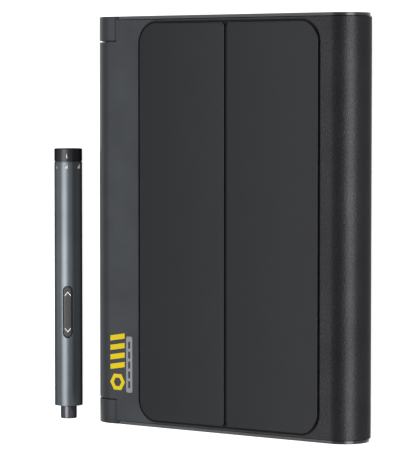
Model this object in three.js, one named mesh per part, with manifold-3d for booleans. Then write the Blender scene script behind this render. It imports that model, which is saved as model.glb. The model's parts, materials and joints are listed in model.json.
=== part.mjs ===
// Cordless precision screwdriver lying beside its hinged bit case, in millimetres.
// +Z is up, out of the case's cover. +X runs from the case's hinge to its rounded front edge, and +Y along
// the hinge. The origin is the middle of the case's underside, on the rest face of the centre foot strip.
import * as THREE from "three";
import { mergeVertices } from "three/addons/utils/BufferGeometryUtils.js";
import Module from "manifold-3d";

const wasm = await Module();
wasm.setup();

// Case: overall sizes
const CASE_LENGTH = 226.1; // along the hinge
const CASE_WIDTH = 174; // over both rounded edges
const EDGE_RADIUS = 14.3; // each long edge is a half-round
const FOOT_HEIGHT = 1; // underside of the case above the surface it stands on
const WALL = 2; // aluminium skins
const GAP = 0.3; // between neighbours that touch
const HINGE_GAP = 0.75; // between a knuckle and the spine barrel
const SWEEP_GAP = 0.25; // round the barrel, for parts that turn past each other
const PARTING_Z = 7.7; // height of the joint line between base and lid
const END_CAP = 1.75; // thickness of the end caps
const CAP_INSET = 0.7; // the caps stand back from the skin's outline
const KNUCKLE_LENGTH = 13.3;
const KNUCKLE_BOSS_RADIUS = 12.8; // a shoulder of each knuckle that narrows its gap to the barrel
const BARREL_WALL = 2.5; // of the spine's hollow barrel
const PIN_RADIUS = 3;
const PIN_REACH = 7; // how far the pin runs out of the knuckle into the bush
const PIN_SINK = 3; // the pin stops this far inside the knuckle's outer face
const BUSH_DEPTH = 7; // from the barrel's end
const BUSH_INSET = 0.5;

// Case: cover and folding stand
const COVER_LEFT = -52.9; // dark cover's edge next to the light spine strip
const COVER_CORNER = 14;
const STEP_DEPTH = 0.5; // the stand lies in a shallow step of the cover
const STEP_RIGHT = 67;
const LEAF_LEFT = -50.8; // hinged edge of the stand
const LEFT_LEAF_WIDTH = 56.6;
const RIGHT_LEAF_WIDTH = 58.4;
const LEAF_THICKNESS = 1.2;
const LEAF_HALF_LENGTH = 109.3;
const LEAF_OUTER_CORNER = 10.8;
const LEAF_INNER_CORNER = 1.8;
const LEAF_BEVEL = 0.4;
const CREASE_GAP = 1.95; // between the leaves, which fold at the right leaf's edge
const TAPE = 0.2; // hinge tapes of the stand
const TAPE_END = 2; // the crease tape stops this far inside the leaves' ends
const ROOT_TAPE_OUT = 1.1; // of the root tape, left of the left leaf's edge
const ROOT_TAPE_UNDER = 0.6; // and under the leaf

// Case: inside
const TRAY_BOTTOM = 3.3;
const TRAY_TOP = 20;
const TRAY_LEFT = -55.4;
const TRAY_RIGHT = 70;
const TRAY_HALF_LENGTH = 107;
const TROUGH_X = -41;
const TROUGH_RADIUS = 8.7;
const TROUGH_HALF_LENGTH = 80;
const TROUGH_SINK = 4.3; // of the trough's axis below the tray's top
const FINGER_LEFT = -53.4; // finger recess across the trough
const FINGER_RIGHT = -29.8;
const FINGER_HALF_LENGTH = 15;
const FINGER_CORNER = 4;
const FINGER_DEPTH = 8;
const TRAY_HOLLOW_HALF_LENGTH = 104; // hollow under the racks
const TRAY_FLOOR = 1.8; // between the hollow and the racks
const RACKS = 3;
const RACK_POCKET = 30;
const RACK_PITCH = 32;
const RACK_FIRST_X = -12.5;
const RACK_HALF_LENGTH = 103.7;
const RACK_SINK = 0.4; // of the rack's top below the tray's
const RACK_HEIGHT = 5.4;
const RACK_WALL = 1;
const BITS_PER_RACK = 16;
const BIT_PITCH = 12.6;
const BIT_ACROSS_FLATS = 4;
const BIT_LENGTH = 26;
const BIT_NECK = 8; // from the end of the hexagonal shank to the end of the bit
const BIT_SLOT_WIDTH = 5.3;
const BIT_SEAT = 0.15; // how far the shanks sink into the magnet bar, which makes them one solid
const TIP_LENGTH = 9; // starts inside the shank
const TIP_ROOT_RADIUS = 1.5;
const TIP_END_RADIUS = 0.7;
const BAR_WIDTH = 4; // magnet bar under each row of bits
const BAR_HALF_LENGTH = 98;
const BAR_THICKNESS = 1;
const SCREW_X = [-48, 62];
const SCREW_Y = 98;
const SCREW_HEAD_RADIUS = 2.1;
const SCREW_SHANK_RADIUS = 1;
const SCREW_HOLE_RADIUS = 2.5; // in the base shell
const SCREW_PILOT_RADIUS = 1.4; // in the tray
const SCREW_DEPTH = 6; // into the tray
const FOOT_X = [["left", -50], ["centre", 0], ["right", 50]];
const FOOT_RADIUS = 6;
const FOOT_HALF_LENGTH = 90;
const RAIL_HALF_LENGTH = 60; // steel rails that hold the lid shut
const BASE_RAIL_LEFT = 71;
const BASE_RAIL_RIGHT = 76.3;
const LID_RAIL_LEFT = 75;
const LID_RAIL_RIGHT = 82;
const LID_RAIL_THICKNESS = 2.7;

// Case: inside of the lid
const LINER_LEFT = -61.5;
const LINER_RIGHT = 75;
const LINER_INSET = 1.5; // from the skin's ends
const LINER_THICKNESS = 1.5;
const LINER_CORNERS = [3, 6, 6, 3];
const MAT_LEFT = -50;
const MAT_RIGHT = 52;
const MAT_HALF_LENGTH = 100;
const MAT_THICKNESS = 1.3;
const MAT_CORNER = 5;
const MAGNET_X = 60; // these hold the stand flat
const MAGNET_Y = 80;
const MAGNET_RADIUS = 4;
const MAGNET_HOLE_RADIUS = 4.4;

// Driver
const DRIVER_X = -119.5; // its axis is parallel to the hinge
const DRIVER_RADIUS = 8;
const DRIVER_WALL = 0.9;
const NOSE_Y = -108; // front end of the barrel
const NOSE_CHAMFER = 0.5;
const BARREL_END_Y = 31.5;
const RING_START_Y = 31.9;
const RING_END_Y = 39.2;
const RING_BORE = 6.1;
const RING_CHAMFER = 0.5;
const CHUCK_TIP_Y = -115.6;
const CHUCK_RADIUS = 4.62;
const CHUCK_CHAMFER = 0.4;
const SOCKET_DEPTH = 8;
const SOCKET_CORNER = BIT_ACROSS_FLATS / 1.7; // a hexagon slightly wider than the shanks
const ROCKER_Y = -54;
const ROCKER_LENGTH = 29.5;
const ROCKER_WIDTH = 4.9;
const ROCKER_PROUD = 0.25; // above the barrel's skin
const ROCKER_FOOT = 6; // height of its lower face above the driver's axis
const SWITCH_REACH = 10.5; // of each switch from the rocker's middle
const ROCKER_TURN = THREE.MathUtils.degToRad(35.5); // the rocker faces this far from +Z towards +X
const BARREL_BORE = DRIVER_RADIUS - DRIVER_WALL;
const CORE_RADIUS = BARREL_BORE - GAP; // largest radius of what fills the barrel
const PLUG_START_Y = 23;
const INLET_WIDTH = 8.7; // outside of the charging inlet
const INLET_HEIGHT = 3;
const INLET_LENGTH = 7;
const INLET_Y = 31;
const BOARD_START_Y = -69;
const BOARD_END_Y = -38;
const BOARD_HEIGHT = 2.3; // above the driver's axis
const MOTOR_RADIUS = 6;
const MOTOR_END_Y = -71;
const CELL_RADIUS = 5.8;
const CELL_START_Y = -36;
const CELL_END_Y = 18;
const STEM_RADIUS = 3.1;
const SHAFT_RADIUS = 1.5;
const LAMP_LENGTH = 1.1;
const BEARING_LENGTH = 2.6;
const GEARBOX_LENGTH = 13;
const SHAFT_DEPTH = 8.5; // into the gearbox

// Worked out from the sizes above
const MID_Z = FOOT_HEIGHT + EDGE_RADIUS;
const TOP_Z = MID_Z + EDGE_RADIUS;
const NOSE_X = CASE_WIDTH / 2 - EDGE_RADIUS;
const AXIS_X = -NOSE_X; // hinge axis, at height MID_Z
const HALF_LENGTH = CASE_LENGTH / 2;
const SKIN_HALF = HALF_LENGTH - END_CAP - GAP; // the skins end inside the caps
const CAP_START = HALF_LENGTH - END_CAP;
const KNUCKLE_START = HALF_LENGTH - KNUCKLE_LENGTH;
const SPINE_HALF = KNUCKLE_START - HINGE_GAP;
const SWEEP_RADIUS = EDGE_RADIUS + SWEEP_GAP;
const STEP_Z = TOP_Z - STEP_DEPTH;
const LEAF_Z = STEP_Z + 2 * GAP + TAPE;
const CREASE_X = LEAF_LEFT + LEFT_LEAF_WIDTH + CREASE_GAP; // fold line of the stand
const ARM_END = TRAY_LEFT - 2 * GAP; // the knuckles' arms under the base
const RACK_TOP = TRAY_TOP - RACK_SINK;
const RACK_BOTTOM = RACK_TOP - RACK_HEIGHT;
const BAR_BOTTOM = RACK_BOTTOM + RACK_WALL + GAP;
const BAR_TOP = BAR_BOTTOM + BAR_THICKNESS;
const BIT_Z = BAR_TOP - BIT_SEAT + BIT_ACROSS_FLATS / 2;

const ROUND_STEPS = 36; // sides of a full turn
const ARC_STEPS = 10;

const object = new THREE.Group();
const driver = new THREE.Group();
driver.position.set(DRIVER_X, 0, DRIVER_RADIUS);
driver.rotation.y = ROCKER_TURN;
object.add(driver);

// ---------------------------------------------------------------- materials

function finish(color, roughness, metalness) {
  return new THREE.MeshStandardMaterial({ color, roughness, metalness });
}

const SPINE_GREY = [0x5c5f63, 0.42, 0.85];
const COVER_BLACK = [0x2c2e31, 0.5, 0.7];
const SOFT_BLACK = [0x323437, 0.7, 0];
const BARREL_GREY = [0x565b61, 0.32, 0.9];
const DARK_METAL = [0x202224, 0.35, 0.8];
const BRIGHT_STEEL = [0xb9bcc0, 0.28, 1];
const BLACK_PLASTIC = [0x1b1c1e, 0.6, 0];
const BLACK_RUBBER = [0x161617, 0.85, 0];
const BOARD_GREEN = [0x1f4a33, 0.5, 0];
const BATTERY_BLUE = [0x3b6ea5, 0.5, 0];
const LAMP = [0xdfe4e8, 0.3, 0];

// ---------------------------------------------------------------- solids

function solid(geometry) {
  geometry.deleteAttribute("normal");
  geometry.deleteAttribute("uv");
  const merged = mergeVertices(geometry, 1e-4);
  return new wasm.Manifold(
    new wasm.Mesh({
      numProp: 3,
      vertProperties: merged.attributes.position.array,
      triVerts: new Uint32Array(merged.index.array),
    }),
  );
}

function geometryOf(body) {
  const mesh = body.getMesh();
  const geometry = new THREE.BufferGeometry();
  geometry.setAttribute("position", new THREE.BufferAttribute(mesh.vertProperties, 3));
  geometry.setIndex(new THREE.BufferAttribute(mesh.triVerts, 1));
  geometry.computeVertexNormals();
  return geometry;
}

function node(name, body, look, parent = object) {
  const mesh = new THREE.Mesh(geometryOf(body), finish(...look));
  mesh.name = name;
  parent.add(mesh);
  return mesh;
}

function block(x0, x1, y0, y1, z0, z1) {
  const geometry = new THREE.BoxGeometry(x1 - x0, y1 - y0, z1 - z0);
  geometry.translate((x0 + x1) / 2, (y0 + y1) / 2, (z0 + z1) / 2);
  return solid(geometry);
}

// A section drawn in X and Z, swept along Y.
function alongY(shape, y0, y1) {
  const geometry = new THREE.ExtrudeGeometry(shape, {
    depth: y1 - y0,
    bevelEnabled: false,
    curveSegments: ARC_STEPS,
  });
  geometry.rotateX(Math.PI / 2);
  geometry.translate(0, y1, 0);
  return solid(geometry);
}

// An outline drawn in X and Y, raised along Z.
function alongZ(shape, z0, z1, bevel = 0) {
  const geometry = new THREE.ExtrudeGeometry(shape, {
    depth: z1 - z0 - 2 * bevel,
    bevelEnabled: bevel > 0,
    bevelThickness: bevel,
    bevelSize: bevel,
    bevelOffset: -bevel,
    bevelSegments: 1,
    curveSegments: ARC_STEPS / 2,
  });
  geometry.translate(0, 0, z0 + bevel);
  return solid(geometry);
}

// A solid turned about the Y axis from [radius, y] points: up the outside, down the inside or the axis.
function turned(points, steps = ROUND_STEPS) {
  const profile = points.map(([radius, y]) => new THREE.Vector2(radius, y));
  return solid(new THREE.LatheGeometry(profile, steps));
}

function rod(radius, y0, y1, steps = ROUND_STEPS) {
  return turned([[0, y0], [radius, y0], [radius, y1], [0, y1]], steps);
}

function tube(outer, inner, y0, y1, steps = ROUND_STEPS) {
  return turned([[outer, y0], [outer, y1], [inner, y1], [inner, y0], [outer, y0]], steps);
}

// The same shapes with their axis on the case's hinge axis.
function hingeRod(radius, y0, y1) {
  return rod(radius, y0, y1).translate([AXIS_X, 0, MID_Z]);
}

function hingeTube(outer, inner, y0, y1) {
  return tube(outer, inner, y0, y1).translate([AXIS_X, 0, MID_Z]);
}

// An upright disc or stud.
function stud(x, y, radius, z0, z1, steps = 16) {
  return rod(radius, z0, z1, steps).rotate([90, 0, 0]).translate([x, y, 0]);
}

// The corners' radii run from the low-x low-y corner anticlockwise.
function roundedOutline(x0, x1, y0, y1, [r0, r1, r2, r3]) {
  const shape = new THREE.Shape();
  shape.moveTo(x0 + r0, y0);
  shape.absarc(x1 - r1, y0 + r1, r1, -Math.PI / 2, 0);
  shape.absarc(x1 - r2, y1 - r2, r2, 0, Math.PI / 2);
  shape.absarc(x0 + r3, y1 - r3, r3, Math.PI / 2, Math.PI);
  shape.absarc(x0 + r0, y0 + r0, r0, Math.PI, 1.5 * Math.PI);
  return shape;
}

// A slot or button outline with round ends, long way along y, raised along z.
function roundEnded(width, length, z0, z1, y = 0) {
  const r = width / 2;
  return alongZ(roundedOutline(-r, r, y - length / 2, y + length / 2, [r, r, r, r]), z0, z1);
}

// Two ends in rising order.
function sorted(a, b) {
  return a < b ? [a, b] : [b, a];
}

// ---------------------------------------------------------------- case base

// The angle at which the front half-round, drawn with this radius, crosses the height z.
function noseAngle(radius, z) {
  return Math.asin((z - MID_Z) / radius);
}

function makeBase() {
  const top = PARTING_Z - GAP / 2;
  const inner = EDGE_RADIUS - WALL;
  const section = new THREE.Shape();
  section.moveTo(AXIS_X, FOOT_HEIGHT);
  section.absarc(NOSE_X, MID_Z, EDGE_RADIUS, -Math.PI / 2, noseAngle(EDGE_RADIUS, top), false);
  section.absarc(NOSE_X, MID_Z, inner, noseAngle(inner, top), -Math.PI / 2, true);
  section.lineTo(AXIS_X, FOOT_HEIGHT + WALL);

  let shell = alongY(section, -SKIN_HALF, SKIN_HALF);
  shell = shell.subtract(hingeRod(SWEEP_RADIUS, -SKIN_HALF - 1, SKIN_HALF + 1));
  for (const side of [-1, 1]) {
    const [y0, y1] = sorted(side * (KNUCKLE_START - GAP), side * HALF_LENGTH);
    shell = shell.subtract(block(AXIS_X - 5, ARM_END + GAP, y0, y1, 0, TRAY_TOP));
  }
  for (const x of SCREW_X) {
    for (const y of [-SCREW_Y, SCREW_Y]) {
      shell = shell.subtract(stud(x, y, SCREW_HOLE_RADIUS, 0, TRAY_BOTTOM));
    }
  }
  node("base_shell", shell, COVER_BLACK);

  const capRadius = EDGE_RADIUS - CAP_INSET;
  const cap = new THREE.Shape();
  cap.moveTo(ARM_END + GAP, MID_Z - capRadius);
  cap.absarc(NOSE_X, MID_Z, capRadius, -Math.PI / 2, noseAngle(capRadius, top), false);
  cap.lineTo(ARM_END + GAP, top);
  node("base_end_cap_top", alongY(cap, CAP_START, HALF_LENGTH), SPINE_GREY);
  node("base_end_cap_bottom", alongY(cap, -HALF_LENGTH, -CAP_START), SPINE_GREY);

  for (const [end, side] of [["top", 1], ["bottom", -1]]) {
    const knuckleEnds = sorted(side * KNUCKLE_START, side * HALF_LENGTH);
    const boreEnds = sorted(side * (KNUCKLE_START - 1), side * (HALF_LENGTH - PIN_SINK + 0.5));
    const pinEnds = sorted(side * (KNUCKLE_START - PIN_REACH), side * (HALF_LENGTH - PIN_SINK));
    const bossEnds = sorted(side * (SPINE_HALF + GAP), side * (KNUCKLE_START + 1));
    const knuckle = hingeRod(EDGE_RADIUS, ...knuckleEnds)
      .add(block(AXIS_X, ARM_END, ...knuckleEnds, FOOT_HEIGHT, top))
      .add(hingeRod(KNUCKLE_BOSS_RADIUS, ...bossEnds))
      .subtract(hingeRod(PIN_RADIUS + GAP, ...boreEnds));
    node(`hinge_knuckle_${end}`, knuckle, SPINE_GREY);
    node(`hinge_pin_${end}`, hingeRod(PIN_RADIUS, ...pinEnds), BRIGHT_STEEL);
  }

  for (const [name, x] of FOOT_X) {
    const outline = roundedOutline(
      x - FOOT_RADIUS, x + FOOT_RADIUS, -FOOT_HALF_LENGTH, FOOT_HALF_LENGTH,
      [FOOT_RADIUS, FOOT_RADIUS, FOOT_RADIUS, FOOT_RADIUS],
    );
    node(`foot_strip_${name}`, alongZ(outline, 0, FOOT_HEIGHT - GAP), BLACK_RUBBER);
  }

  let count = 1;
  for (const x of SCREW_X) {
    for (const y of [-SCREW_Y, SCREW_Y]) {
      const head = stud(x, y, SCREW_HEAD_RADIUS, FOOT_HEIGHT + GAP, FOOT_HEIGHT + WALL - GAP);
      const shank = stud(x, y, SCREW_SHANK_RADIUS, FOOT_HEIGHT + 1, TRAY_BOTTOM + SCREW_DEPTH, 12);
      const screw = head.add(shank);
      node(`base_screw_${count}`, screw, BRIGHT_STEEL);
      count += 1;
    }
  }

  const rail = block(
    BASE_RAIL_LEFT, BASE_RAIL_RIGHT, -RAIL_HALF_LENGTH, RAIL_HALF_LENGTH, TRAY_BOTTOM + 1, top - GAP,
  );
  node("base_magnet_rail", rail, BRIGHT_STEEL);
}

// ---------------------------------------------------------------- bit tray

function rackX(index) {
  return RACK_FIRST_X + index * RACK_PITCH;
}

function bitY(index) {
  return (index - (BITS_PER_RACK - 1) / 2) * BIT_PITCH;
}

function makeTray() {
  let tray = block(
    TRAY_LEFT, TRAY_RIGHT, -TRAY_HALF_LENGTH, TRAY_HALF_LENGTH, TRAY_BOTTOM, TRAY_TOP,
  );
  const troughZ = TRAY_TOP - TROUGH_SINK;
  const above = TRAY_TOP + 1;
  const corners = [FINGER_CORNER, FINGER_CORNER, FINGER_CORNER, FINGER_CORNER];
  const finger = roundedOutline(
    FINGER_LEFT, FINGER_RIGHT, -FINGER_HALF_LENGTH, FINGER_HALF_LENGTH, corners,
  );
  const opening = block(
    TROUGH_X - TROUGH_RADIUS, TROUGH_X + TROUGH_RADIUS, -TROUGH_HALF_LENGTH, TROUGH_HALF_LENGTH,
    troughZ, above,
  );
  const trough = rod(TROUGH_RADIUS, -TROUGH_HALF_LENGTH, TROUGH_HALF_LENGTH)
    .translate([TROUGH_X, 0, troughZ])
    .add(opening)
    .add(alongZ(finger, TRAY_TOP - FINGER_DEPTH, above));
  tray = tray.subtract(trough);
  const half = RACK_POCKET / 2;
  for (let i = 0; i < RACKS; i += 1) {
    tray = tray.subtract(
      block(
        rackX(i) - half, rackX(i) + half,
        -RACK_HALF_LENGTH - GAP, RACK_HALF_LENGTH + GAP, RACK_BOTTOM - GAP, above,
      ),
    );
  }
  // Hollow underneath, clear of the screw bosses at the right-hand end
  tray = tray.subtract(
    block(
      rackX(0) - half, SCREW_X[1] - 6, -TRAY_HOLLOW_HALF_LENGTH, TRAY_HOLLOW_HALF_LENGTH,
      TRAY_BOTTOM - 1, RACK_BOTTOM - TRAY_FLOOR,
    ),
  );
  for (const x of SCREW_X) {
    for (const y of [-SCREW_Y, SCREW_Y]) {
      const pilotTop = TRAY_BOTTOM + SCREW_DEPTH + 0.4;
      tray = tray.subtract(stud(x, y, SCREW_PILOT_RADIUS, TRAY_BOTTOM - 1, pilotTop, 12));
    }
  }
  node("bit_tray", tray, BLACK_PLASTIC);

  for (let i = 0; i < RACKS; i += 1) {
    node(`bit_rack_${i + 1}`, makeRack().translate([rackX(i), 0, 0]), BLACK_PLASTIC);
    node(`bit_set_${i + 1}`, makeBitSet().translate([rackX(i), 0, 0]), BRIGHT_STEEL);
  }
}

// A comb of slots with a groove across them for the magnet bar that holds the bits.
function makeRack() {
  const half = RACK_POCKET / 2 - GAP;
  const floor = RACK_BOTTOM + RACK_WALL;
  let rack = block(-half, half, -RACK_HALF_LENGTH, RACK_HALF_LENGTH, RACK_BOTTOM, RACK_TOP);
  for (let i = 0; i < BITS_PER_RACK; i += 1) {
    const slot = block(
      -half + RACK_WALL, half - RACK_WALL, bitY(i) - BIT_SLOT_WIDTH / 2, bitY(i) + BIT_SLOT_WIDTH / 2,
      floor, TRAY_TOP,
    );
    rack = rack.subtract(slot);
  }
  const groove = BAR_WIDTH / 2 + 0.4;
  const reach = BAR_HALF_LENGTH + 1;
  return rack.subtract(block(-groove, groove, -reach, reach, floor - GAP, TRAY_TOP));
}

// Hexagonal bits lying across one magnet bar.
function makeBitSet() {
  const corner = BIT_ACROSS_FLATS / Math.sqrt(3);
  const shankEnd = BIT_LENGTH / 2 - BIT_NECK;
  const shankLength = shankEnd + BIT_LENGTH / 2;
  const barHalf = BAR_WIDTH / 2;
  let set = block(-barHalf, barHalf, -BAR_HALF_LENGTH, BAR_HALF_LENGTH, BAR_BOTTOM, BAR_TOP);
  const hex = new THREE.CylinderGeometry(corner, corner, shankLength, 6, 1, false, Math.PI / 6);
  hex.rotateZ(Math.PI / 2);
  hex.translate(shankEnd - shankLength / 2, 0, BIT_Z);
  const tip = new THREE.CylinderGeometry(TIP_ROOT_RADIUS, TIP_END_RADIUS, TIP_LENGTH, 6);
  tip.rotateZ(Math.PI / 2);
  tip.translate(BIT_LENGTH / 2 - TIP_LENGTH / 2, 0, BIT_Z);
  const bit = solid(hex).add(solid(tip));
  for (let i = 0; i < BITS_PER_RACK; i += 1) {
    set = set.add(bit.translate([0, bitY(i), 0]));
  }
  return set;
}

// ---------------------------------------------------------------- lid

function makeLid() {
  const bottom = PARTING_Z + GAP / 2;
  const inner = EDGE_RADIUS - WALL;

  // Spine: the barrel between the knuckles and the light strip beside the cover
  const coverOutline = roundedOutline(
    COVER_LEFT - GAP, CASE_WIDTH, -SKIN_HALF - GAP, SKIN_HALF + GAP,
    [COVER_CORNER + GAP, 1, 1, COVER_CORNER + GAP],
  );
  const strip = block(
    AXIS_X, COVER_LEFT + COVER_CORNER * 0.75, -SKIN_HALF, SKIN_HALF, TOP_Z - WALL, TOP_Z,
  )
    .subtract(alongZ(coverOutline, 0, TOP_Z + 1))
    .subtract(hingeRod(SWEEP_RADIUS, SPINE_HALF, HALF_LENGTH))
    .subtract(hingeRod(SWEEP_RADIUS, -HALF_LENGTH, -SPINE_HALF));
  const spine = strip
    .add(hingeRod(EDGE_RADIUS, -SPINE_HALF, SPINE_HALF))
    .subtract(hingeRod(EDGE_RADIUS - BARREL_WALL, -HALF_LENGTH, HALF_LENGTH));
  node("hinge_spine", spine, SPINE_GREY);
  for (const [end, side] of [["top", 1], ["bottom", -1]]) {
    const ends = sorted(side * (SPINE_HALF - BUSH_DEPTH), side * (SPINE_HALF - BUSH_INSET));
    const bush = hingeTube(EDGE_RADIUS - BARREL_WALL - GAP, PIN_RADIUS + GAP, ...ends);
    node(`hinge_bush_${end}`, bush, BLACK_PLASTIC);
  }

  // Cover: one bent skin from the strip to the joint line under the rounded front edge
  const section = new THREE.Shape();
  section.moveTo(COVER_LEFT, TOP_Z - WALL);
  section.lineTo(NOSE_X, TOP_Z - WALL);
  section.absarc(NOSE_X, MID_Z, inner, Math.PI / 2, noseAngle(inner, bottom), true);
  section.absarc(NOSE_X, MID_Z, EDGE_RADIUS, noseAngle(EDGE_RADIUS, bottom), Math.PI / 2, false);
  section.lineTo(COVER_LEFT, TOP_Z);
  const outline = roundedOutline(
    COVER_LEFT, CASE_WIDTH, -SKIN_HALF, SKIN_HALF, [COVER_CORNER, 1, 1, COVER_CORNER],
  );
  const cover = alongY(section, -SKIN_HALF - 1, SKIN_HALF + 1)
    .intersect(alongZ(outline, 0, TOP_Z + 1))
    .subtract(block(COVER_LEFT - 5, STEP_RIGHT, -HALF_LENGTH, HALF_LENGTH, STEP_Z, TOP_Z + 1));
  node("front_cover", cover, COVER_BLACK);

  // End caps: flat plates cut round the knuckle
  const capRadius = EDGE_RADIUS - CAP_INSET;
  const cap = new THREE.Shape();
  cap.moveTo(AXIS_X, bottom);
  cap.lineTo(NOSE_X, bottom);
  cap.absarc(NOSE_X, MID_Z, capRadius, noseAngle(capRadius, bottom), Math.PI / 2, false);
  cap.lineTo(AXIS_X, MID_Z + capRadius);
  const sweep = hingeRod(SWEEP_RADIUS, -HALF_LENGTH - 1, HALF_LENGTH + 1);
  const plate = [alongY(cap, CAP_START, HALF_LENGTH), alongY(cap, -HALF_LENGTH, -CAP_START)];
  node("lid_end_cap_top", plate[0].subtract(sweep), SPINE_GREY);
  node("lid_end_cap_bottom", plate[1].subtract(sweep), SPINE_GREY);

  // Inside of the lid
  const linerTop = TOP_Z - WALL - GAP;
  const linerBottom = linerTop - LINER_THICKNESS;
  const linerHalf = SKIN_HALF - LINER_INSET;
  let liner = alongZ(
    roundedOutline(LINER_LEFT, LINER_RIGHT, -linerHalf, linerHalf, LINER_CORNERS), linerBottom, linerTop,
  );
  for (const [end, y] of [["top", MAGNET_Y], ["bottom", -MAGNET_Y]]) {
    liner = liner.subtract(stud(MAGNET_X, y, MAGNET_HOLE_RADIUS, linerBottom - 1, linerTop + 1, 24));
    const magnet = stud(MAGNET_X, y, MAGNET_RADIUS, linerBottom, linerTop - GAP, 24);
    node(`stand_magnet_${end}`, magnet, BRIGHT_STEEL);
  }
  node("lid_liner", liner, BLACK_PLASTIC);
  const corners = [MAT_CORNER, MAT_CORNER, MAT_CORNER, MAT_CORNER];
  const mat = roundedOutline(MAT_LEFT, MAT_RIGHT, -MAT_HALF_LENGTH, MAT_HALF_LENGTH, corners);
  const matTop = linerBottom - GAP;
  node("magnetic_mat", alongZ(mat, matTop - MAT_THICKNESS, matTop), SOFT_BLACK);
  const rail = block(
    LID_RAIL_LEFT, LID_RAIL_RIGHT, -RAIL_HALF_LENGTH, RAIL_HALF_LENGTH,
    bottom + GAP, bottom + GAP + LID_RAIL_THICKNESS,
  );
  node("lid_magnet_rail", rail, BRIGHT_STEEL);
}

// ---------------------------------------------------------------- folding stand on the lid

function makeStand() {
  const outer = LEAF_OUTER_CORNER;
  const inner = LEAF_INNER_CORNER;
  const top = LEAF_Z + LEAF_THICKNESS;
  const leftEnd = LEAF_LEFT + LEFT_LEAF_WIDTH;
  const left = roundedOutline(
    LEAF_LEFT, leftEnd, -LEAF_HALF_LENGTH, LEAF_HALF_LENGTH, [outer, inner, inner, outer],
  );
  const right = roundedOutline(
    CREASE_X, CREASE_X + RIGHT_LEAF_WIDTH, -LEAF_HALF_LENGTH, LEAF_HALF_LENGTH,
    [inner, outer, outer, inner],
  );
  node("stand_left_leaf", alongZ(left, LEAF_Z, top, LEAF_BEVEL), SOFT_BLACK);
  node("stand_right_leaf", alongZ(right, LEAF_Z, top, LEAF_BEVEL), SOFT_BLACK);

  const rootHalf = LEAF_HALF_LENGTH - outer;
  const rootTape = block(
    LEAF_LEFT - ROOT_TAPE_OUT, LEAF_LEFT + ROOT_TAPE_UNDER, -rootHalf, rootHalf,
    STEP_Z + GAP, STEP_Z + GAP + TAPE,
  );
  node("stand_root_tape", rootTape, BLACK_RUBBER);
  const creaseHalf = LEAF_HALF_LENGTH - TAPE_END;
  const creaseTape = block(
    leftEnd + GAP, CREASE_X - GAP, -creaseHalf, creaseHalf, LEAF_Z, LEAF_Z + 2 * TAPE,
  );
  node("stand_crease_tape", creaseTape, BLACK_RUBBER);
}

// ---------------------------------------------------------------- driver: axis on Y, rocker up

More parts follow.
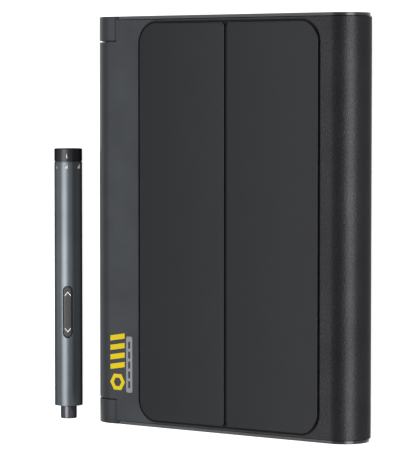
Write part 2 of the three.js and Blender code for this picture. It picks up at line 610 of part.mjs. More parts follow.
function makeDriver() {
  const slot = roundEnded(
    ROCKER_WIDTH + 2 * GAP, ROCKER_LENGTH + 2 * GAP, 0, DRIVER_RADIUS + 1, ROCKER_Y,
  );
  const barrel = turned([
    [DRIVER_RADIUS - NOSE_CHAMFER, NOSE_Y],
    [DRIVER_RADIUS, NOSE_Y + NOSE_CHAMFER],
    [DRIVER_RADIUS, BARREL_END_Y],
    [BARREL_BORE, BARREL_END_Y],
    [BARREL_BORE, NOSE_Y],
    [DRIVER_RADIUS - NOSE_CHAMFER, NOSE_Y],
  ]).subtract(slot);
  node("driver_barrel", barrel, BARREL_GREY, driver);

  const ring = turned([
    [DRIVER_RADIUS, RING_START_Y],
    [DRIVER_RADIUS, RING_END_Y - RING_CHAMFER],
    [DRIVER_RADIUS - RING_CHAMFER, RING_END_Y],
    [RING_BORE, RING_END_Y],
    [RING_BORE, RING_START_Y],
    [DRIVER_RADIUS, RING_START_Y],
  ]);
  node("torque_ring", ring, DARK_METAL, driver);

  // Tail plug: fixed in the barrel, with the charging inlet in its end face
  const plugEnd = RING_END_Y - RING_CHAMFER;
  const neck = RING_BORE - GAP;
  const toTail = (body, y) => body.rotate([-90, 0, 0]).rotate([0, 90, 0]).translate([0, y, 0]);
  const inletSlot = roundEnded(INLET_HEIGHT + 2 * GAP, INLET_WIDTH + 2 * GAP, 0, INLET_LENGTH + 2);
  const plug = turned([
    [0, PLUG_START_Y],
    [CORE_RADIUS, PLUG_START_Y],
    [CORE_RADIUS, BARREL_END_Y - GAP],
    [neck, BARREL_END_Y - GAP],
    [neck, plugEnd],
    [0, plugEnd],
  ]).subtract(toTail(inletSlot, INLET_Y - 0.5));
  node("tail_plug", plug, BLACK_PLASTIC, driver);
  const hollow = roundEnded(INLET_HEIGHT - 0.7, INLET_WIDTH - 0.7, 0.5, INLET_LENGTH + 1);
  const inlet = roundEnded(INLET_HEIGHT, INLET_WIDTH, 0, INLET_LENGTH).subtract(hollow);
  const tongue = block(-0.35, 0.35, -3.1, 3.1, 0.8, INLET_LENGTH - 1);
  node("charging_inlet_shell", toTail(inlet, INLET_Y), BRIGHT_STEEL, driver);
  node("charging_inlet_tongue", toTail(tongue, INLET_Y), BLACK_PLASTIC, driver);

  // Rocker button with its seal, the switches under it and their board
  const rockerTop = DRIVER_RADIUS + ROCKER_PROUD;
  const rocker = roundEnded(ROCKER_WIDTH, ROCKER_LENGTH, ROCKER_FOOT, rockerTop, ROCKER_Y);
  node("rocker_button", rocker, BLACK_PLASTIC, driver);
  const sealTop = ROCKER_FOOT - 0.4;
  const sealHole = roundEnded(ROCKER_WIDTH + 0.8, ROCKER_LENGTH + 0.8, sealTop - 2, sealTop + 1, ROCKER_Y);
  const seal = roundEnded(8, ROCKER_LENGTH + 3, sealTop - 0.6, sealTop, ROCKER_Y).subtract(sealHole);
  node("rocker_seal", seal, BLACK_RUBBER, driver);
  const boardTop = BOARD_HEIGHT + 1;
  const board = block(-4.5, 4.5, BOARD_START_Y, BOARD_END_Y, BOARD_HEIGHT, boardTop);
  node("control_board", board, BOARD_GREEN, driver);
  const switchStart = boardTop + GAP;
  for (const [name, side] of [["forward", -1], ["reverse", 1]]) {
    const y = ROCKER_Y + side * SWITCH_REACH;
    const housing = block(-1.6, 1.6, y - 2, y + 2, switchStart, switchStart + 1);
    const plunger = block(-0.7, 0.7, y - 1, y + 1, switchStart + 0.9, switchStart + 1.5);
    node(`switch_${name}`, housing.add(plunger), BRIGHT_STEEL, driver);
  }

  // Power and drive train, each piece a small gap behind the one before it, from the nose back
  const lampStart = NOSE_Y + 0.2;
  const lampEnd = lampStart + LAMP_LENGTH;
  const bearingStart = lampEnd + 0.4;
  const bearingEnd = bearingStart + BEARING_LENGTH;
  const stemEnd = bearingEnd + 0.4;
  const gearboxStart = stemEnd + 2;
  const gearboxEnd = gearboxStart + GEARBOX_LENGTH;
  const shaftEnd = gearboxStart + SHAFT_DEPTH;
  const stemHole = STEM_RADIUS + GAP;
  node("lamp_ring", tube(CORE_RADIUS, stemHole, lampStart, lampEnd), LAMP, driver);
  node("nose_bearing", tube(CORE_RADIUS, stemHole, bearingStart, bearingEnd), BRIGHT_STEEL, driver);
  node("output_shaft", rod(SHAFT_RADIUS, stemEnd + GAP, shaftEnd, 24), BRIGHT_STEEL, driver);
  const gearbox = rod(CORE_RADIUS - 0.1, gearboxStart, gearboxEnd)
    .subtract(rod(SHAFT_RADIUS + GAP, gearboxStart - 1, shaftEnd + 0.5, 24));
  node("planetary_gearbox", gearbox, DARK_METAL, driver);
  node("motor", rod(MOTOR_RADIUS, gearboxEnd + 0.5, MOTOR_END_Y), BRIGHT_STEEL, driver);
  node("battery_cell", rod(CELL_RADIUS, CELL_START_Y, CELL_END_Y), BATTERY_BLUE, driver);
  const frameEnd = PLUG_START_Y - 1;
  const open = block(-DRIVER_RADIUS, DRIVER_RADIUS, BOARD_START_Y - 1, frameEnd + 1, -1, DRIVER_RADIUS);
  const frame = tube(CORE_RADIUS, CORE_RADIUS - 0.6, BOARD_START_Y, frameEnd).subtract(open);
  node("inner_frame", frame, BLACK_PLASTIC, driver);

  // Chuck: a short round nose with a hexagon socket and a magnet at its bottom
  const socketEnd = CHUCK_TIP_Y + SOCKET_DEPTH;
  const hex = new THREE.CylinderGeometry(SOCKET_CORNER, SOCKET_CORNER, SOCKET_DEPTH + 1, 6);
  hex.translate(0, socketEnd - (SOCKET_DEPTH + 1) / 2, 0);
  const shoulder = NOSE_Y - 0.4;
  const chuck = turned([
    [0, CHUCK_TIP_Y],
    [CHUCK_RADIUS - CHUCK_CHAMFER, CHUCK_TIP_Y],
    [CHUCK_RADIUS, CHUCK_TIP_Y + CHUCK_CHAMFER],
    [CHUCK_RADIUS, shoulder],
    [STEM_RADIUS, shoulder],
    [STEM_RADIUS, stemEnd],
    [0, stemEnd],
  ]).subtract(solid(hex));
  node("bit_chuck", chuck, DARK_METAL, driver);
  const magnet = rod(1.6, socketEnd - 1.7, socketEnd - GAP, 24);
  node("chuck_magnet", magnet, BRIGHT_STEEL, driver);
}

makeBase();
makeTray();
makeLid();
makeStand();
makeDriver();

export default object;
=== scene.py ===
"""Cordless precision screwdriver beside its hinged aluminium bit case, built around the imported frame.

Every size below is in millimetres and is turned into metres where a mesh is made.
"""
import json
import math

import bmesh
import bpy
from mathutils import Matrix, Vector
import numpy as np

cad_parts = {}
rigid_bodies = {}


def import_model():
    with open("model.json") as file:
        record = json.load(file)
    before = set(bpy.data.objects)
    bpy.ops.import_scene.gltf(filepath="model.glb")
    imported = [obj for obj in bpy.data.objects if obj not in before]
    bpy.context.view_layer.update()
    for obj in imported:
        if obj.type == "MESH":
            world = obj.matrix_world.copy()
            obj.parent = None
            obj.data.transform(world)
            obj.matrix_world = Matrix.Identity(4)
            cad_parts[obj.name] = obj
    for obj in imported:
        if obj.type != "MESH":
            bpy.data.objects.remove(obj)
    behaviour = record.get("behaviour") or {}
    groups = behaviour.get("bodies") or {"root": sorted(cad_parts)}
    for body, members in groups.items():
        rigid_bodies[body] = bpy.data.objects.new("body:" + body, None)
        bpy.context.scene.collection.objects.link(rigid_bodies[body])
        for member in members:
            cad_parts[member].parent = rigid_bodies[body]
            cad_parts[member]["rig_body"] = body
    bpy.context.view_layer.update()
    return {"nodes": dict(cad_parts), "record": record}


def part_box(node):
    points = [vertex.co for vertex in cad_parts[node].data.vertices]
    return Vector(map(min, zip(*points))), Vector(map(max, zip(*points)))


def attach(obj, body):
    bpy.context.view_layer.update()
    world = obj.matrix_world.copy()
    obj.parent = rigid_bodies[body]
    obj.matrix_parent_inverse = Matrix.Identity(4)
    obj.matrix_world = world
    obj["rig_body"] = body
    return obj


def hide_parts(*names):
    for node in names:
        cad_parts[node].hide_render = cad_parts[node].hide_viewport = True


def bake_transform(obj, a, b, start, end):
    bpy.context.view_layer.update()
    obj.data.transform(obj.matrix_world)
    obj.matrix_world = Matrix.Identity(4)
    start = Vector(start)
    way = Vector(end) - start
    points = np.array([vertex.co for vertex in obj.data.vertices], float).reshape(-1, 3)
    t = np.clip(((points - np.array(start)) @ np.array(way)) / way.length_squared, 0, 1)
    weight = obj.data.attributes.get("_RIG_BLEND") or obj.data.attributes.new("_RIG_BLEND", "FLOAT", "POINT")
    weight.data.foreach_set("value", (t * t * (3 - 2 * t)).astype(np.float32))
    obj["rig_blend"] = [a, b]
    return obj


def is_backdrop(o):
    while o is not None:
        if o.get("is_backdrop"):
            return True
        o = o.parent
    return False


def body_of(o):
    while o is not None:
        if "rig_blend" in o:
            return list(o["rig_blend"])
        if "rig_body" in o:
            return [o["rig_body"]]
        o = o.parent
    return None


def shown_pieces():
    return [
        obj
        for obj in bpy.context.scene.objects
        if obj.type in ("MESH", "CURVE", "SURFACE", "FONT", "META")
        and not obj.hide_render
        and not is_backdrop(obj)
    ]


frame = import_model()
MM = 0.001


# ---------------------------------------------------------------- sizes taken from the frame


def box_mm(node):
    low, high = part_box(node)
    return [v / MM for v in low], [v / MM for v in high]


spine_high = box_mm("hinge_spine")[1]
knuckle_low, knuckle_high = box_mm("hinge_knuckle_top")
cover_low, cover_high = box_mm("front_cover")
left_low, left_high = box_mm("stand_left_leaf")
right_low, right_high = box_mm("stand_right_leaf")
cap_low = box_mm("lid_end_cap_top")[0]
barrel_low, barrel_high = box_mm("driver_barrel")
ring_low, ring_high = box_mm("torque_ring")
chuck_low, chuck_high = box_mm("bit_chuck")

TOP_Z = spine_high[2]
EDGE_RADIUS = (knuckle_high[2] - knuckle_low[2]) / 2
MID_Z = TOP_Z - EDGE_RADIUS
AXIS_X = knuckle_low[0] + EDGE_RADIUS  # hinge axis, parallel to Y at height MID_Z
NOSE_X = -AXIS_X  # axis of the rounded front edge
FOOT_HEIGHT = knuckle_low[2]
SKIN_HALF = cover_high[1]
HALF_LENGTH = knuckle_high[1]
KNUCKLE_LENGTH = 13.3
KNUCKLE_START = HALF_LENGTH - KNUCKLE_LENGTH
HINGE_GAP = 0.75
SPINE_HALF = KNUCKLE_START - HINGE_GAP
COVER_LEFT = cover_low[0]
COVER_CORNER = 14
SKIN = 2
GAP = 0.3
CAP_INSET = 0.7
BOSS_RADIUS = 12.8  # the knuckle's round boss, which faces the end of the spine's barrel
BARREL_WALL = 2.5  # of the spine's barrel
KNUCKLE_REACH = EDGE_RADIUS + 0.4  # corner of the knuckle's flat top, from the hinge axis
SWEEP_RADIUS = EDGE_RADIUS + 0.75  # what turns with the lid stays outside this
LID_BOTTOM = cap_low[2]
BASE_TOP = LID_BOTTOM - GAP
ARM_END = knuckle_high[0]
LEAF_OUTER, LEAF_INNER = 10.8, 1.8  # corner radii away from the crease and beside it
POCKET_LEFT = left_low[0] - 1.7  # the pocket leaves a groove round the folding stand
POCKET_RIGHT = right_high[0] + 0.35
POCKET_HALF = left_high[1] + 0.65
POCKET_DEPTH = 0.8
LEAF_HALF = left_high[1] - 0.6
LEAF_RIGHT = right_high[0] - 0.2

DRIVER_RADIUS = (ring_high[0] - ring_low[0]) / 2
DRIVER_X = (ring_high[0] + ring_low[0]) / 2
DRIVER_Z = (ring_high[2] + ring_low[2]) / 2
DRIVER_BODIES = ("driver", "torque_ring", "rocker", "chuck")
ROCKER_TURN = math.radians(35.5)  # the rocker faces this far from +Z towards +X
ROCKER_Y = -54
ROCKER_LENGTH = 28.8
ROCKER_WIDTH = 4.3
ROCKER_GAP = 0.6
BIT_ACROSS = 4  # the bits' shanks, across the flats
SOCKET_CORNER = BIT_ACROSS / 1.7  # the chuck's socket, axis to corner, a little looser than a shank
BITS_PER_RACK = 16
BIT_PITCH = 12.6


# ---------------------------------------------------------------- materials


BLOTCH = 25.0  # size of the slow drift in a surface's colour
ROUGHNESS_SPREAD = 0.06
GRAIN_IN_COLOUR = 0.35  # how far the fine grain shows in the colour


def surface(
    name,
    color,
    roughness,
    metallic=0.0,
    grain=0.3,
    depth=0.02,
    stretch=(1, 1, 1),
    variation=0.12,
    speckle=0.0,
):
    """A principled surface with fine grain in its relief and roughness, and slow drift in its colour.

    grain is a feature size in millimetres and depth is the relief's height in millimetres.
    stretch draws the grain out along an axis, and speckle adds lighter flecks.
    """
    mat = bpy.data.materials.new(name)
    mat.use_nodes = True
    nodes = mat.node_tree.nodes
    links = mat.node_tree.links
    shader = nodes["Principled BSDF"]
    shader.inputs["Metallic"].default_value = metallic

    place = nodes.new("ShaderNodeTexCoord")
    fine_map = nodes.new("ShaderNodeMapping")
    fine_map.inputs["Scale"].default_value = [1 / s for s in stretch]
    links.new(place.outputs["Object"], fine_map.inputs["Vector"])

    fine = nodes.new("ShaderNodeTexNoise")
    fine.inputs["Scale"].default_value = 1 / (grain * MM)
    fine.inputs["Detail"].default_value = 3
    links.new(fine_map.outputs["Vector"], fine.inputs["Vector"])

    slow = nodes.new("ShaderNodeTexNoise")
    slow.inputs["Scale"].default_value = 1 / (BLOTCH * MM)
    slow.inputs["Detail"].default_value = 4
    links.new(place.outputs["Object"], slow.inputs["Vector"])

    blend = nodes.new("ShaderNodeMath")
    blend.operation = "MULTIPLY_ADD"
    blend.inputs[1].default_value = GRAIN_IN_COLOUR
    links.new(fine.outputs["Fac"], blend.inputs[0])
    links.new(slow.outputs["Fac"], blend.inputs[2])

    ramp = nodes.new("ShaderNodeValToRGB")
    ramp.color_ramp.elements[0].position = 0.45
    ramp.color_ramp.elements[1].position = 0.9
    ramp.color_ramp.elements[0].color = [c * (1 - variation) for c in color] + [1]
    ramp.color_ramp.elements[1].color = [c * (1 + variation) for c in color] + [1]
    links.new(blend.outputs["Value"], ramp.inputs["Fac"])
    tint = ramp.outputs["Color"]
    if speckle:
        flecks = nodes.new("ShaderNodeTexVoronoi")
        flecks.inputs["Scale"].default_value = 1 / (1.6 * grain * MM)
        links.new(place.outputs["Object"], flecks.inputs["Vector"])
        near = nodes.new("ShaderNodeMapRange")
        near.inputs["From Min"].default_value = 0.0
        near.inputs["From Max"].default_value = 0.3
        near.inputs["To Min"].default_value = speckle
        near.inputs["To Max"].default_value = 0.0
        links.new(flecks.outputs["Distance"], near.inputs["Value"])
        mix = nodes.new("ShaderNodeMix")
        mix.data_type = "RGBA"
        mix.blend_type = "MIX"
        lighter = [min(1, 2.2 * c + 0.01) for c in color]
        mix.inputs["B"].default_value = lighter + [1]
        links.new(near.outputs["Result"], mix.inputs["Factor"])
        links.new(tint, mix.inputs["A"])
        tint = mix.outputs["Result"]
    links.new(tint, shader.inputs["Base Color"])

    rough = nodes.new("ShaderNodeMapRange")
    rough.inputs["From Min"].default_value = 0.3
    rough.inputs["From Max"].default_value = 0.7
    rough.inputs["To Min"].default_value = roughness - ROUGHNESS_SPREAD
    rough.inputs["To Max"].default_value = roughness + ROUGHNESS_SPREAD
    links.new(fine.outputs["Fac"], rough.inputs["Value"])
    links.new(rough.outputs["Result"], shader.inputs["Roughness"])

    bump = nodes.new("ShaderNodeBump")
    bump.inputs["Strength"].default_value = 1.0
    bump.inputs["Distance"].default_value = depth * MM
    links.new(fine.outputs["Fac"], bump.inputs["Height"])
    links.new(bump.outputs["Normal"], shader.inputs["Normal"])
    return mat


def constant(mat, **sockets):
    """Sets sockets that are the same all over the surface on the shader itself."""
    shader = mat.node_tree.nodes["Principled BSDF"]
    for socket, value in sockets.items():
        shader.inputs[socket.replace("_", " ")].default_value = value
    return mat


EDGE_TINT = (0.25, 0.25, 0.25, 1)  # anodised metal stays dark at grazing angles
COVER_TINT = (0.62, 0.62, 0.62, 1)
SPINE = surface("spine_aluminium", (0.030, 0.0318, 0.034), 0.44, 1.0, 0.3, 0.012, speckle=0.15)
CAP = surface("cap_aluminium", (0.032, 0.0331, 0.0347), 0.25, 1.0, 0.3, 0.008, speckle=0.1)
COVER = constant(
    surface("cover_aluminium", (0.0168, 0.0167, 0.0175), 0.38, 1.0, 0.85, 0.13, speckle=0.3),
    Specular_Tint=COVER_TINT,
)
# the leaves' sides and rounded edges: real gloss, and a colour darker than the top that is painted shade for
# the groove round the stand
EDGE_GLOSS_AND_PAINTED_SHADE = constant(
    surface("leaf_edge_gloss_painted_shade", (0.002, 0.002, 0.0022), 0.3, 0.0, 0.3, 0.006), Specular_IOR_Level=0.22
)
SOFT = constant(
    surface("soft_touch", (0.0031, 0.0034, 0.0042), 0.46, 0.0, 0.2, 0.012, variation=0.1),
    Sheen_Weight=0.02,
    Sheen_Roughness=0.4,
    Specular_IOR_Level=0.22,
)
RUBBER = constant(
    surface("black_rubber", (0.004, 0.004, 0.0045), 0.78, 0.0, 0.35, 0.03), Specular_IOR_Level=0.2
)
PLASTIC = constant(
    surface("black_plastic", (0.008, 0.0085, 0.0095), 0.5, 0.0, 0.4, 0.03, speckle=0.15),
    Specular_IOR_Level=0.3,
)
BUTTON = constant(
    surface("button_plastic", (0.005, 0.0051, 0.0054), 0.36, 0.0, 0.12, 0.006), Specular_IOR_Level=0.12
)
STEEL = surface("bright_steel", (0.17, 0.175, 0.185), 0.3, 1.0, 0.15, 0.004, (1, 1, 12))
BARREL = constant(
    surface("barrel_aluminium", (0.0288, 0.0318, 0.0343), 0.42, 1.0, 0.09, 0.004, variation=0.08),
    Specular_Tint=EDGE_TINT,
)
DARK = constant(
    surface("dark_metal", (0.0095, 0.0094, 0.0103), 0.42, 1.0, 0.12, 0.004), Specular_Tint=EDGE_TINT
)
CHUCK = constant(
    surface("chuck_metal", (0.02, 0.0205, 0.022), 0.36, 1.0, 0.12, 0.004), Specular_Tint=EDGE_TINT
)
BOARD = surface("board_green", (0.01, 0.05, 0.024), 0.35, 0.0, 0.5, 0.02)
CELL = surface("battery_wrap", (0.012, 0.06, 0.17), 0.3, 0.0, 0.6, 0.02)
LENS = constant(
    surface("lamp_lens", (0.6, 0.63, 0.66), 0.3, 0.0, 0.2, 0.01, variation=0.04),
    Transmission_Weight=0.5,
)
MARK_YELLOW = constant(
    surface("mark_yellow", (0.42, 0.31, 0.002), 0.5, 0.0, 0.12, 0.006, variation=0.04),
    Specular_IOR_Level=0.1,
)
MARK_GREY = surface("mark_grey", (0.12, 0.124, 0.132), 0.5, 0.0, 0.12, 0.006, variation=0.05)
MARK_WHITE = surface("mark_white", (0.36, 0.365, 0.37), 0.5, 0.0, 0.1, 0.005, variation=0.04)
MARK_PALE = surface("mark_pale", (0.2, 0.205, 0.21), 0.5, 0.0, 0.1, 0.005, variation=0.04)

SLOT_MATERIALS = {
    "spine_aluminium": SPINE,
    "cover_aluminium": COVER,
    "soft_touch": SOFT,
    "black_rubber": RUBBER,
    "black_plastic": PLASTIC,
    "button_plastic": BUTTON,
    "bright_steel": STEEL,
    "barrel_aluminium": BARREL,
    "dark_metal": DARK,
    "board_green": BOARD,
    "battery_wrap": CELL,
    "lamp_lens": LENS,
}


# ---------------------------------------------------------------- mesh helpers


SHARP_ANGLE = math.radians(32)


def smooth(mesh):
    mesh.polygons.foreach_set("use_smooth", [True] * len(mesh.polygons))
    mesh.set_sharp_from_angle(angle=SHARP_ANGLE)


def soften(obj, width, segments=2, degrees=38):
    bevel = obj.modifiers.new("edges", "BEVEL")
    bevel.width = width * MM
    bevel.segments = segments
    bevel.limit_method = "ANGLE"
    bevel.angle_limit = math.radians(degrees)


def make_object(name, bm, mat):
    bmesh.ops.remove_doubles(bm, verts=bm.verts, dist=1e-4)
    bmesh.ops.recalc_face_normals(bm, faces=bm.faces)
    bmesh.ops.scale(bm, vec=(MM, MM, MM), verts=bm.verts)
    mesh = bpy.data.meshes.new(name)
    bm.to_mesh(mesh)
    bm.free()
    mesh.materials.append(mat)
    smooth(mesh)
    obj = bpy.data.objects.new(name, mesh)
    bpy.context.scene.collection.objects.link(obj)
    return obj


def add_loops(bm, loops, capped=True, closed=False):
    """Skins loops of equal length, one after another, and closes the first and last."""
    rows = [[bm.verts.new(p) for p in loop] for loop in loops]
    count = len(rows[0])
    pairs = list(zip(rows, rows[1:]))
    if closed:
        pairs.append((rows[-1], rows[0]))
    for low, high in pairs:
        for i in range(count):
            j = (i + 1) % count
            bm.faces.new((low[i], low[j], high[j], high[i]))
    if capped and not closed:
        bm.faces.new(rows[0])
        bm.faces.new(rows[-1])


def from_loops(name, loops, mat):
    bm = bmesh.new()
    add_loops(bm, loops)
    return make_object(name, bm, mat)


def lathe_loops(profile, x=0.0, z=0.0, steps=96):
    """Rings about an axis parallel to Y, one for each (radius, y) point."""
    turns = [2 * math.pi * i / steps for i in range(steps)]
    return [[(x + r * math.sin(a), y, z + r * math.cos(a)) for a in turns] for r, y in profile]


def lathe(name, profile, mat, x=0.0, z=0.0, steps=96):
    """A closed profile makes a ring. A profile that starts and ends on the axis makes a solid."""
    bm = bmesh.new()
    add_loops(bm, lathe_loops(profile, x, z, steps), capped=False, closed=profile[0][0] > 0)
    bmesh.ops.remove_doubles(bm, verts=bm.verts, dist=1e-4)
    loose = [f for f in bm.faces if f.calc_area() < 1e-9]
    bmesh.ops.delete(bm, geom=loose, context="FACES_ONLY")
    return make_object(name, bm, mat)


def arc(cx, cy, radius, start, end, steps):
    """Points from start to end, in degrees, anticlockwise if end is larger."""
    angles = [math.radians(start + (end - start) * i / steps) for i in range(steps + 1)]
    return [(cx + radius * math.cos(a), cy + radius * math.sin(a)) for a in angles]


def rounded_rect(x0, x1, y0, y1, radii, inset=0.0, steps=12):
    """radii run from the low-x low-y corner anticlockwise. inset shrinks the outline and its corners."""
    x0, x1, y0, y1 = x0 + inset, x1 - inset, y0 + inset, y1 - inset
    r = [max(0.02, radius - inset) for radius in radii]
    points = arc(x0 + r[0], y0 + r[0], r[0], 180, 270, steps)
    points += arc(x1 - r[1], y0 + r[1], r[1], 270, 360, steps)
    points += arc(x1 - r[2], y1 - r[2], r[2], 0, 90, steps)
    points += arc(x0 + r[3], y1 - r[3], r[3], 90, 180, steps)
    return points


def at_height(outline, z):
    return [(x, y, z) for x, y in outline]


def edge_profile(z0, z1, low, high, steps=4):
    """(inset, z) pairs up the side of a plate whose lower and upper edges are rounded."""
    pairs = [(low * (1 - math.sin(a)), z0 + low * (1 - math.cos(a))) for a in quarter(steps)]
    pairs += [(high * (1 - math.cos(a)), z1 - high * (1 - math.sin(a))) for a in quarter(steps)]
    return pairs


def quarter(steps):
    return [math.pi / 2 * i / steps for i in range(steps + 1)]


def plate(name, outline, z0, z1, mat, low=0.1, high=0.2, steps=3):
    """outline(inset) gives the plate's outline, shrunk by inset."""
    loops = [at_height(outline(inset), z) for inset, z in edge_profile(z0, z1, low, high, steps)]
    return from_loops(name, loops, mat)


def along_y(name, section, y0, y1, mat, low=0.1, high=0.1, steps=3):
    """section(inset) gives an outline in X and Z, which is drawn from y0 to y1 with rounded end edges."""
    pairs = edge_profile(y0, y1, low, high, steps)
    return from_loops(name, [[(x, y, z) for x, z in section(inset)] for inset, y in pairs], mat)


def between(a, b):
    return (a, b) if a < b else (b, a)


def carve(obj, cutter):
    """Cuts cutter out of obj, as a plain mesh, and deletes cutter."""
    cut = obj.modifiers.new("cut", "BOOLEAN")
    cut.operation = "DIFFERENCE"
    cut.solver = "EXACT"
    cut.object = cutter
    bpy.context.view_layer.update()
    evaluated = obj.evaluated_get(bpy.context.evaluated_depsgraph_get())
    cut_mesh = bpy.data.meshes.new_from_object(evaluated)
    obj.modifiers.clear()
    obj.data = cut_mesh
    smooth(cut_mesh)
    bpy.data.objects.remove(cutter)


def paint(obj, mat, chosen):
    """Gives the chosen faces a second material."""
    obj.data.materials.append(mat)
    index = len(obj.data.materials) - 1
    for face in obj.data.polygons:
        if chosen(face):
            face.material_index = index


def join(name, objects):
    """One object made of the meshes of several."""
    bm = bmesh.new()
    for obj in objects:
        bm.from_mesh(obj.data)
    mat = objects[0].data.materials[0]
    for obj in objects:
        bpy.data.objects.remove(obj)
    mesh = bpy.data.meshes.new(name)
    bm.to_mesh(mesh)
    bm.free()
    mesh.materials.append(mat)
    smooth(mesh)
    joined = bpy.data.objects.new(name, mesh)
    bpy.context.scene.collection.objects.link(joined)
    return joined


def finish_piece(obj, body, replaces=()):
    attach(obj, body)
    if replaces:
        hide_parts(*replaces)


def to_driver(obj):
    """Moves a piece from the driver's own frame, axis on Y and rocker up, to its place beside the case."""
    turn = Matrix.Rotation(ROCKER_TURN, 4, "Y")
    place = Matrix.Translation(Vector((DRIVER_X, 0, DRIVER_Z)) * MM)
    obj.data.transform(place @ turn)
    return obj


# ---------------------------------------------------------------- case: spine and knuckles


def spine_strip_outline(inset):
    """The light strip beside the barrel, hollow where the cover's rounded corners meet it."""
    end = SKIN_HALF - inset
    right = COVER_LEFT + COVER_CORNER * 0.96
    radius = COVER_CORNER + 0.03 + inset
    centre_x = COVER_LEFT + COVER_CORNER
    start = 180 - math.degrees(math.acos((centre_x - right) / radius))
    upper = arc(centre_x, SKIN_HALF - COVER_CORNER, radius, start, 180, 28)
    upper = [(x, min(y, end - 0.02)) for x, y in upper]
    lower = [(x, -y) for x, y in reversed(upper)]
    return [(AXIS_X, -end), (AXIS_X, end), (upper[0][0], end)] + upper + lower + [(upper[0][0], -end)]


def knuckle_section(inset):
    """Round outside, flat on top as far as the strip, and with an arm under the base."""
    radius, reach = EDGE_RADIUS - inset, KNUCKLE_REACH - inset
    arm_end, arm_top = ARM_END - inset, BASE_TOP - inset
    low = math.degrees(math.asin((arm_top - MID_Z) / reach))
    high = math.degrees(math.asin((TOP_Z - inset - MID_Z) / reach))
    points = arc(AXIS_X, MID_Z, radius, 90, 270, 72)
    points += [(arm_end, FOOT_HEIGHT + inset), (arm_end, arm_top)]
    return points + arc(AXIS_X, MID_Z, reach, low, high, 48)


def make_spine():
    strip = plate("spine_strip", spine_strip_outline, TOP_Z - SKIN, TOP_Z, SPINE, 0.03, 0.06)
    for side in (1, -1):
        y0, y1 = between(side * SPINE_HALF, side * (HALF_LENGTH + 1))
        profile = [(0, y0), (SWEEP_RADIUS, y0), (SWEEP_RADIUS, y1), (0, y1)]
        carve(strip, lathe("sweep", profile, SPINE, AXIS_X, MID_Z, 180))
    finish_piece(strip, "lid", ["hinge_spine"])
    bore, edge = EDGE_RADIUS - BARREL_WALL, 0.3
    profile = [(EDGE_RADIUS - inset, y) for inset, y in edge_profile(-SPINE_HALF, SPINE_HALF, edge, edge)]
    profile += [(bore, SPINE_HALF), (bore, -SPINE_HALF)]
    barrel = lathe("spine_barrel", profile, SPINE, AXIS_X, MID_Z, 144)
    finish_piece(barrel, "lid", ["hinge_spine"])

    for end, side in (("top", 1), ("bottom", -1)):
        y0, y1 = between(side * KNUCKLE_START, side * HALF_LENGTH)
        edges = (0.15, 0.4) if side > 0 else (0.4, 0.15)
        block = along_y("block", knuckle_section, y0, y1, SPINE, *edges, steps=4)
        y0, y1 = between(side * (SPINE_HALF + GAP), side * (KNUCKLE_START + 1))
        profile = [(0, y0), (BOSS_RADIUS, y0), (BOSS_RADIUS, y1), (0, y1)]
        boss = lathe("boss", profile, SPINE, AXIS_X, MID_Z, 96)
        knuckle = join(f"knuckle_{end}", [block, boss])
        finish_piece(knuckle, "case_base", [f"hinge_knuckle_{end}"])


# ---------------------------------------------------------------- case: cover


def nose_angle(radius, z):
    return math.degrees(math.asin((z - MID_Z) / radius))


def pocket_outline(inset):
    """Around both leaves of the stand."""
    left, right = LEAF_OUTER + 1.5, LEAF_OUTER + 0.9
    radii = [left, right, right, left]
    return rounded_rect(POCKET_LEFT, POCKET_RIGHT, -POCKET_HALF, POCKET_HALF, radii, inset, 16)


def in_painted_shade_pocket(point):
    """Whether a point of the cover lies in the pocket's walls or floor, not on the skin's inner side. These
    faces are painted black as painted shade.
    """
    x, y, z = (v / MM for v in point)
    inside = POCKET_LEFT - 0.1 < x < POCKET_RIGHT + 0.1 and abs(y) < POCKET_HALF + 0.1
    return inside and z > TOP_Z - POCKET_DEPTH - 0.1


def make_cover():
    """One bent skin: each station is an outer point, an inner point and the half-length there."""
    inner_radius = EDGE_RADIUS - SKIN
    under = TOP_Z - SKIN
    stations = []
    for i in range(33):
        a = math.pi / 2 * i / 32
        x = COVER_LEFT + COVER_CORNER * (1 - math.cos(a))
        half = SKIN_HALF - COVER_CORNER * (1 - math.sin(a))
        stations.append(((x, TOP_Z), (x, under), half))
    outer_end = nose_angle(EDGE_RADIUS, LID_BOTTOM)
    inner_end = nose_angle(inner_radius, LID_BOTTOM)
    steps = 64
    outer = arc(NOSE_X, MID_Z, EDGE_RADIUS, 90, outer_end, steps)
    inner = arc(NOSE_X, MID_Z, inner_radius, 90, inner_end, steps)
    stations += [(a, b, SKIN_HALF) for a, b in zip(outer, inner)]
    loops = []
    for (ox, oz), (ix, iz), half in stations:
        loops.append([(ox, -half, oz), (ox, half, oz), (ix, half, iz), (ix, -half, iz)])
    cover = from_loops("front_skin", loops, COVER)
    pocket = [at_height(pocket_outline(0), z) for z in (TOP_Z - POCKET_DEPTH, TOP_Z + 2)]
    carve(cover, from_loops("pocket", pocket, COVER))
    # the pocket's walls and floor are painted black rubber: painted shade for the groove round the stand
    paint(cover, RUBBER, lambda face: face.center.z < (TOP_Z - 0.1) * MM and in_painted_shade_pocket(face.center))
    soften(cover, 0.1)
    finish_piece(cover, "lid", ["front_cover"])


def lid_cap_section(inset):
    """The lid's end plate in X and Z: flat top and bottom, round front, hollow towards the knuckle."""
    top = TOP_Z - CAP_INSET - inset
    bottom = LID_BOTTOM + inset
    radius = EDGE_RADIUS - CAP_INSET - inset
    sweep = SWEEP_RADIUS + inset
    points = arc(NOSE_X, MID_Z, radius, nose_angle(radius, bottom), 90, 48)
    start = math.degrees(math.asin((top - MID_Z) / sweep))
    end = math.degrees(math.asin((bottom - MID_Z) / sweep))
    return points + arc(AXIS_X, MID_Z, sweep, start, end, 24)


